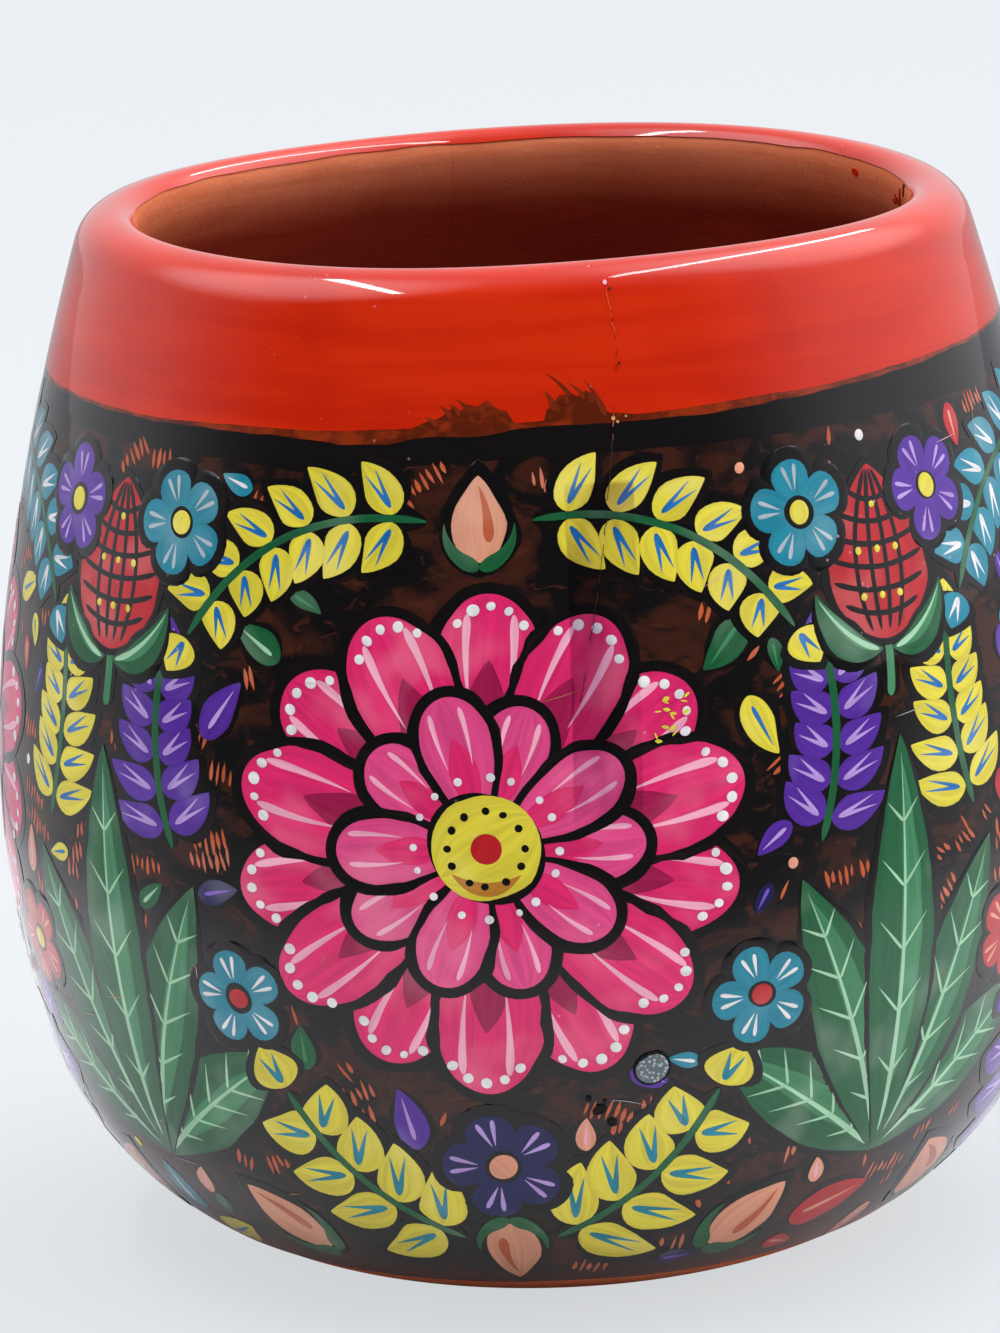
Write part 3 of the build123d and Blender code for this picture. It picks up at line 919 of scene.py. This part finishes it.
coats = {"groundUnderRed": 10 * mm, "groundRagged": 1.2 * mm, "groundThick": 0.22 * mm, "stainDown": 4.6 * mm,
         "lineLift": 0.02 * mm, "lineThick": 0.06 * mm, "redLift": 0.05 * mm, "redThick": 0.24 * mm}
brushEnd = Coat("brushEnd")


def byHand(table, azimuth):  # a height in metres from (degrees, millimetres) points along an edge
    degrees = math.degrees(azimuth)
    for a, b in zip(table, table[1:]):
        if degrees < b[0]:
            return (a[1] + (b[1] - a[1]) * smoothStep(degrees, a[0], b[0])) * mm
    return table[-1][1] * mm


def ripple(azimuth, scale, seed):  # joins up round the pot
    return noise.noise(Vector((math.sin(azimuth) * scale, math.cos(azimuth) * scale, seed)))


def redBase(azimuth):
    wave = rimEdge["ripple"] * (ripple(azimuth, 5, 2.0) + 0.3 * ripple(azimuth, 26, 4.0))
    return rimBox[0].z + rimEdge["rise"] + rimEdge["tilt"] * math.sin(azimuth) + wave


def redLower(azimuth):
    bite = byHand(rimEdge["red"], azimuth)
    return alongAt(redBase(azimuth) + bite * (1 + 0.25 * ripple(azimuth, 60, 1.0)))


def redUpper(azimuth):
    return coatLength - rimEdge["innerRagged"] * (0.5 + ripple(azimuth, 6, 5.0))


def lineUpper(azimuth):
    strip = byHand(rimEdge["strip"], azimuth)
    return alongAt(redBase(azimuth) - strip + 0.25 * mm * ripple(azimuth, 14, 9.0))


def lineLower(azimuth):
    return alongAt(lineBox[0].z + byHand(rimEdge["line"], azimuth) + 0.4 * mm * ripple(azimuth, 9, 7.0))


def groundUpper(azimuth):
    return alongAt(rimBox[0].z + coats["groundUnderRed"])


def groundLower(azimuth):
    return alongAt(groundBox[0].z + coats["groundRagged"] * ripple(azimuth, 4, 1.0))


def ringBand(coat, lowAt, highAt, steps, rows, lift, colour):  # a band of paint right round the pot
    def place(t, v):
        azimuth = (t - 0.5) * 2 * math.pi
        low, high = lowAt(azimuth), highAt(azimuth)
        return onPot(azimuth, coatLine(low + (high - low) * v), lift)

    coat.grid(steps, rows, place, pigments[colour], (0.6, 0.18))


ground, blackLine, redRim = Coat("groundWash"), Coat("shoulderLine"), Coat("rimPaint")
ringBand(ground, groundLower, groundUpper, 360, 130, 0.0, "umber")
ringBand(blackLine, lineLower, lineUpper, 720, 10, coats["lineLift"], "ink")
ringBand(redRim, redLower, redUpper, 960, 44, coats["redLift"], "red")
spot, (bowX, bowY) = Spot(bristles["foot"][0], rimBox[0].z + bristles["foot"][1]), bristles["bow"]
for x, y, tipX, tipY, wide in bristles["marks"]:  # brown that the bristles left bare in the red
    line = [(x, y), ((x + tipX) / 2 + bowX, (y + tipY) / 2 + bowY), (tipX, tipY)]
    paintStroke(brushEnd, spot, line, wide, "sienna", bristles["layer"], "comma")
print("base coats laid")


# wear: the hairline at the front seam, nicks, scratches, yellow scuffs, the chip and black flakes
wear, chips = Coat("wear"), Coat("chips")
damage = {"topLayer": 20, "scratches": 44, "scratchBand": (20 * mm, 180 * mm), "scratchCells": (8, 1),
          "scuffs": 14, "scuffPlace": (3.0, 117), "scuff": [(0, -0.7), (0, 0.7)], "scuffCells": (5, 2),
          "crackSteps": 56, "crackGaps": 0.25, "crackCells": (6, 2),
          "crack": [(-0.5, 190.2), (0.2, 180.3), (-1.2, 164.3), (-3.2, 144.4), (-6.2, 120.7)],
          "nickTop": (-0.5, 190.0),
          "nicks": [(0, 0.3, 0.7, "blush"), (0.7, -0.7, 0.5, "ink"), (1.2, -13, 0.4, "ink"),
                    (-0.6, -22.0, 0.7, "scuff"), (0.1, -22.6, 0.5, "scuff"), (1.6, -21.8, 0.4, "scuff")],
          "chip": (0.0, 54.3, 5.8), "chipEdge": 0.9, "chipCells": (18, 10), "flakeCells": (12, 8),
          "flakes": [(-5.5, 46.7, 2.6), (-4.2, 44.4, 1.8), (-6.6, 49.0, 1.2), (-4.9, 48.4, 0.9)]}


def crackAt(share):  # azimuth and height along the hairline
    place = share * (len(damage["crack"]) - 1)
    i = min(int(place), len(damage["crack"]) - 2)
    a, b = damage["crack"][i], damage["crack"][i + 1]
    return a[0] + (b[0] - a[0]) * (place - i), (a[1] + (b[1] - a[1]) * (place - i)) * mm


top = damage["topLayer"]
for i in range(damage["crackSteps"]):
    share, nextShare = i / damage["crackSteps"], (i + 1) / damage["crackSteps"]
    if rand.random() < damage["crackGaps"]:
        continue
    (azimuth, height), (nextAzimuth, nextHeight) = crackAt(share), crackAt(nextShare)
    across = math.radians(nextAzimuth - azimuth) * bodyAt(height)[0] / mm
    down = (nextHeight - height) / mm
    colour = "umber"
    if share < 0.5:  # through the red
        colour = rand.choice(["rust", "rust", "sienna", "scuff" if share > 0.3 else "rust"])
    line = [(0, 0), (rand.uniform(-0.3, 0.3), down / 2), (across, down)]
    wide = rand.uniform(0.07, 0.14)
    paintStroke(wear, Spot(azimuth, height), line, wide, colour, top, "line", 0.2, cells=damage["crackCells"])
azimuth, height = damage["nickTop"]
for x, y, wide, colour in damage["nicks"]:
    paintDot(wear, Spot(azimuth, height * mm), x, y, wide, colour, top + 1, 0.0)
for i in range(damage["scratches"]):
    turn = rand.choice([rand.uniform(0, 360), rand.uniform(70, 110)])
    spot = Spot(rand.uniform(-180, 180), rand.uniform(*damage["scratchBand"]), turn)
    long = rand.uniform(1.0, 4.5)
    colour = rand.choice(["scuff", "grey", "blush"])
    line = [(0, -long), (rand.uniform(-0.6, 0.6), 0), (0, long)]
    paintStroke(wear, spot, line, rand.uniform(0.08, 0.14), colour, top, cells=damage["scratchCells"])
azimuth, height = damage["scuffPlace"]
for i in range(damage["scuffs"]):
    aside, up, turn = rand.uniform(-1.8, 1.8), rand.uniform(-4, 4), rand.uniform(0, 180)
    spot, wide = Spot(azimuth + aside, (height + up) * mm, turn), rand.uniform(0.3, 0.8)
    line, cells = damage["scuff"], damage["scuffCells"]
    paintStroke(wear, spot, line, wide, "yellow", top, "almond", 0.4, cells=cells)
azimuth, height, size = damage["chip"]
for across, colour, layer in ((size + damage["chipEdge"], "ink", top + 1), (size, "grey", top + 2)):
    line, spot = [(-across / 2, 0), (across / 2, 0)], Spot(azimuth, height * mm)
    paintStroke(chips, spot, line, across * 0.94, colour, layer, "disc", 0.12, 0.0, damage["chipCells"])
for azimuth, height, size in damage["flakes"]:
    line, spot = [(-size / 2, 0), (size / 2, 0)], Spot(azimuth, height * mm, rand.uniform(0, 90))
    paintStroke(chips, spot, line, size * 0.8, "ink", top + 1, "disc", 0.45, 0.0, damage["flakeCells"])

paint, inkFinish = brushPaint(), inkPaint()
stain = groundPaint(lineBox[1].z - coats["stainDown"])
film = {"colour": 0.02 * mm, "ink": 0.12 * mm, "hatching": 0.01 * mm}
ground.piece(stain, coats["groundThick"], ["ground_wash"], "brown_ground", True)
blackLine.piece(inkFinish, coats["lineThick"], ["shoulder_line"], "black_enamel", True)
redRim.piece(rimEnamel(), coats["redThick"], ["rim_paint"], "red_enamel", True)
petals.piece(paint, film["colour"], ["blossom_petals"], "pink_paint")
eyes.piece(paint, film["colour"], ["blossom_eyes"], "yellow_paint")
leaves.piece(paint, film["colour"], ["leaf_sprays"], "green_paint")
for coat in (petalInk, leafInk, frondInk, budInk):
    coat.piece(inkFinish, film["ink"], slot="black_enamel")
for coat, slot in ((fronds, "yellow_paint"), (florets, "pink_paint"), (buds, "red_enamel"),
                   (dots, "yellow_paint"), (brushEnd, "brown_ground"), (wear, "brown_ground")):
    coat.piece(paint, film["colour"], slot=slot)
patches.piece(paint, film["hatching"], slot="brown_ground")
chips.piece(chippedClay(), film["colour"], slot="clay")


# clay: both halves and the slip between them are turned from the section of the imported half
clay = {"halfSlip": 0.4 * mm, "steps": 96, "slipSteps": 2, "fingerMarks": 0.5 * mm, "markSize": 20 * mm,
        "marksFrom": 6 * mm, "marksFull": 20 * mm}  # the marks start below the lip
outerRows = outlineRows(["left_half_shell"], paintCentre, spacing=0.9 * mm)
innerRows = outlineRows(["left_half_shell"], cavityCentre, True, 2.2 * mm)
seamTurn = clay["halfSlip"] / max(outerRows)[0]


def fingerShift(place):  # dents that the potter's fingers left inside
    marks = Vector((place.x, place.y, place.z * 1.6)) / clay["markSize"]
    fade = smoothStep(lipHeight - place.z, clay["marksFrom"], clay["marksFull"])
    return clay["fingerMarks"] * noise.noise(marks) * fade


def turnedClay(name, start, sweep, steps, material, node):
    bm = bmesh.new()
    inside = bm.verts.layers.int.new("inside")
    section = []
    for rows, isInside in ((outerRows, 0), (innerRows[::-1], 1)):
        for radius, height in rows:
            vert = bm.verts.new(outwards(start) * radius + Vector((0, 0, height)))
            vert[inside] = isInside
            section.append(vert)
    face = bm.faces.new(section)
    turned = [face, *face.edges, *section]
    bmesh.ops.spin(bm, geom=turned, cent=(0, 0, 0), axis=(0, 0, 1), angle=sweep, steps=steps)
    for vert in bm.verts:
        out, up = handShift(math.atan2(vert.co.x, -vert.co.y), vert.co.z)
        if vert[inside]:
            out += fingerShift(vert.co)
        vert.co += Vector((vert.co.x, vert.co.y, 0)).normalized() * out + Vector((0, 0, up))
    bmesh.ops.recalc_face_normals(bm, faces=bm.faces)
    for face in bm.faces:
        face.smooth = True
        if len(face.verts) > 4:  # the flat ends
            for edge in face.edges:
                edge.smooth = False
    made = addMesh(name, bm, material)
    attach(made, "root")
    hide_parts(node)
    print(name, len(made.data.polygons), "faces")


clayFinish, slipFinish = bareClay("bareClay"), bareClay("luteSlip", 0.97)
halfTurn, slipTurn = math.pi - 2 * seamTurn, 2 * seamTurn
turnedClay("rightHalf", seamTurn, halfTurn, clay["steps"], clayFinish, "right_half_shell")
turnedClay("leftHalf", math.pi + seamTurn, halfTurn, clay["steps"], clayFinish, "left_half_shell")
turnedClay("frontSlip", -seamTurn, slipTurn, clay["slipSteps"], slipFinish, "front_seam_slip")
turnedClay("rearSlip", math.pi - seamTurn, slipTurn, clay["slipSteps"], slipFinish, "rear_seam_slip")
for node, material in (("base_slab", clayFinish), ("base_seam_slip", slipFinish)):
    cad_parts[node].data.materials.clear()
    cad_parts[node].data.materials.append(material)


# dabs of the red that ran over the lip
lipDabs = Coat("lipDabs")
dabs = {"clear": 0.16 * mm, "thickness": 0.3 * mm, "wander": 0.3, "cells": (10, 5),
        "places": [(92.0, 6.2, [(-1.5, 0.4), (0, -0.5), (1.5, 0.2)], 2.2, "rimRed"),
                   (89.6, 4.8, [(0.2, 1.3), (-0.3, 0), (0, -1.2)], 1.0, "rimRed"),
                   (94.6, 7.4, [(-0.8, 0), (0.8, 0.4)], 1.0, "rimRed"),
                   (108.5, 4.4, [(-1.1, 0.3), (0, 0), (1.1, -0.2)], 1.2, "rimRed"),
                   (87.0, 3.3, [(0.3, 1.3), (-0.2, 0), (0.1, -1.3)], 1.3, "sienna")]}


class InnerSpot:  # a place on the inside of the wall, seen from inside
    flip = 1.0

    def __init__(self, azimuth, drop):
        self.azimuth, self.height = math.radians(azimuth), lipHeight - drop * mm

    def at(self, x, y, lift=0.0):
        height = self.height + y * mm
        low = max(i for i, row in enumerate(innerRows[:-1]) if row[1] <= height)
        a, b = innerRows[low], innerRows[low + 1]
        radius = a[0] + (b[0] - a[0]) * (height - a[1]) / (b[1] - a[1])
        azimuth = self.azimuth - x * mm / radius
        place = outwards(azimuth) * radius + Vector((0, 0, height))
        out, up = handShift(azimuth, height)
        out += fingerShift(place) - dabs["clear"] - lift
        return place + outwards(azimuth) * out + Vector((0, 0, up))


for azimuth, drop, points, wide, colour in dabs["places"]:
    spot = InnerSpot(azimuth, drop)
    paintStroke(lipDabs, spot, points, wide, colour, 0, "disc", dabs["wander"], 0.0, dabs["cells"])
lipDabs.piece(paint, dabs["thickness"], slot="red_enamel")


# camera
view = {"azimuth": -10.0, "elevation": 13.23, "distance": 1.400, "roll": 2.12, "lens": 204.2, "sensor": 36.0,
        "aimRight": -7.0 * mm, "aimBelowLip": 88.7 * mm, "near": 0.05, "far": 60.0}
camera = bpy.data.cameras.new("camera")
cameraObject = bpy.data.objects.new("camera", camera)
bpy.context.scene.collection.objects.link(cameraObject)
turn, rise = math.radians(view["azimuth"]), math.radians(view["elevation"])
right, front = Vector((math.cos(turn), math.sin(turn), 0)), outwards(turn)
aim = right * view["aimRight"] + Vector((0, 0, lipHeight - view["aimBelowLip"]))
back = front * math.cos(rise) + Vector((0, 0, math.sin(rise)))
look = (-back).to_track_quat("-Z", "Y").to_matrix() @ Matrix.Rotation(math.radians(-view["roll"]), 3, "Z")
cameraObject.location = aim + back * view["distance"]
cameraObject.rotation_euler = look.to_euler()
camera.sensor_width, camera.lens = view["sensor"], view["lens"]
camera.clip_start, camera.clip_end = view["near"], view["far"]
bpy.context.scene.camera = cameraObject


# pale floor: dark towards the camera in what the varnish mirrors, pale all over to the camera itself
floorLook = {"size": 6.0, "underFoot": 0.2 * mm, "tone": (0.70, 0.70, 0.707, 1.0),
             "dark": (0.03, 0.03, 0.03, 1.0), "darkFrom": -0.05, "darkFull": 0.45, "nearEnd": 0.22,
             "farStart": 0.40, "farShare": 0.6, "seen": (0.14, 0.143, 0.146, 1.0),
             "glow": (0.625, 0.648, 0.666, 1.0), "noGlow": (0.0, 0.0, 0.0, 1.0)}
f = Finish("paleFloor")
seen, mirrored = f.node("ShaderNodeLightPath"), f.node("ShaderNodeLightPath", out=3)
away = f.node("ShaderNodeVectorMath", {"operation": "LENGTH"}, {0: f.objectPlace()}, out=1)
nearby = 1.0 - f.band(away, floorLook["nearEnd"], floorLook["farStart"], 0.0, floorLook["farShare"])
ahead = f.band(f.dot(f.objectPlace(), front), floorLook["darkFrom"], floorLook["darkFull"])
darkened = (1.0 - nearby * (1.0 - ahead)) * mirrored
floorColour = f.mix(darkened, floorLook["tone"], floorLook["dark"])
floorColour = f.mix(seen, floorColour, floorLook["seen"])
glow = f.mix(seen, floorLook["noGlow"], floorLook["glow"])
floorFinish = f.surface(Base_Color=floorColour, Emission_Color=glow, Emission_Strength=1.0, Roughness=0.8,
                        Specular_IOR_Level=0.0)
floorBm = bmesh.new()
bmesh.ops.create_grid(floorBm, x_segments=8, y_segments=8, size=floorLook["size"])
bmesh.ops.translate(floorBm, verts=floorBm.verts, vec=(0, 0, -floorLook["underFoot"]))
floor = addMesh("floor", floorBm, floorFinish)

# light from all round, more from above and from a window on the right; the varnish mirrors white sides,
# a dark front and two glows
studio = {"tint": (0.96, 0.99, 1.04, 1.0), "backdrop": 0.84, "ambient": 0.42, "ambientFront": 0.05,
          "frontEdge": (0.0, 0.75), "above": 1.10, "window": (0.92, -0.16, 0.36), "windowLight": 1.45,
          "windowEdge": (0.35, 0.9), "whiteSide": 0.74, "darkFront": 0.02, "darkEdge": (-0.15, 0.62),
          "darkTurn": 10.0, "glows": [((-0.62, 0.1, 0.78), 2.4), ((0.62, 0.2, 0.76), 1.8)],
          "glowEdge": (0.80, 0.985)}
world = bpy.data.worlds.new("studio")
bpy.context.scene.world = world
world.use_nodes = True
board = Board(world.node_tree)
direction = board.node("ShaderNodeTexCoord")
seen, mirrored = board.node("ShaderNodeLightPath"), board.node("ShaderNodeLightPath", out=3)
facing = board.dot(direction, front)
lit = board.band(facing, *studio["frontEdge"], studio["ambient"], studio["ambientFront"])
lit = lit + studio["above"] * board.band(board.part(direction, 2), 0.0, 1.0)
rightward, forward, upward = studio["window"]
window = (right * rightward + front * forward + Vector((0, 0, upward))).normalized()
lit = lit + board.band(board.dot(direction, window), *studio["windowEdge"], 0.0, studio["windowLight"])
aside = math.radians(studio["darkTurn"])
facing = board.dot(direction, front * math.cos(aside) - right * math.sin(aside))
reflected = board.band(facing, *studio["darkEdge"], studio["whiteSide"], studio["darkFront"])
for place, power in studio["glows"]:
    near = board.dot(direction, Vector(place).normalized())
    reflected = reflected + board.band(near, *studio["glowEdge"], 0.0, power)
strength = lit + mirrored * (reflected - lit)
strength = strength + seen * (studio["backdrop"] - strength)
board.fill(world.node_tree.nodes["Background"], {"Color": studio["tint"], "Strength": strength})

lamps = {"rightLamp": {"start": (0.25, -0.28, 1.38), "end": (0.64, 0.85, 0.87), "width": 0.06, "power": 3.9},
         "leftLamp": {"start": (-0.38, 0.44, 1.30), "end": (-0.60, -0.45, 1.19), "width": 0.06, "power": 4.4}}
for name, strip in lamps.items():  # narrow strips that face the lip
    start, end = Vector(strip["start"]), Vector(strip["end"])
    lamp = bpy.data.lights.new(name, "AREA")
    lamp.shape, lamp.energy = "RECTANGLE", strip["power"]
    lamp.size, lamp.size_y = (end - start).length, strip["width"]
    middle, along = (start + end) / 2, (end - start).normalized()
    away = middle - Vector((0, 0, lipHeight))
    away = (away - along * away.dot(along)).normalized()
    made = bpy.data.objects.new(name, lamp)
    made.location = middle
    made.rotation_euler = Matrix((along, away.cross(along), away)).transposed().to_euler()
    bpy.context.scene.collection.objects.link(made)
bpy.context.scene.view_settings.view_transform = "Standard"
print("studio lit")
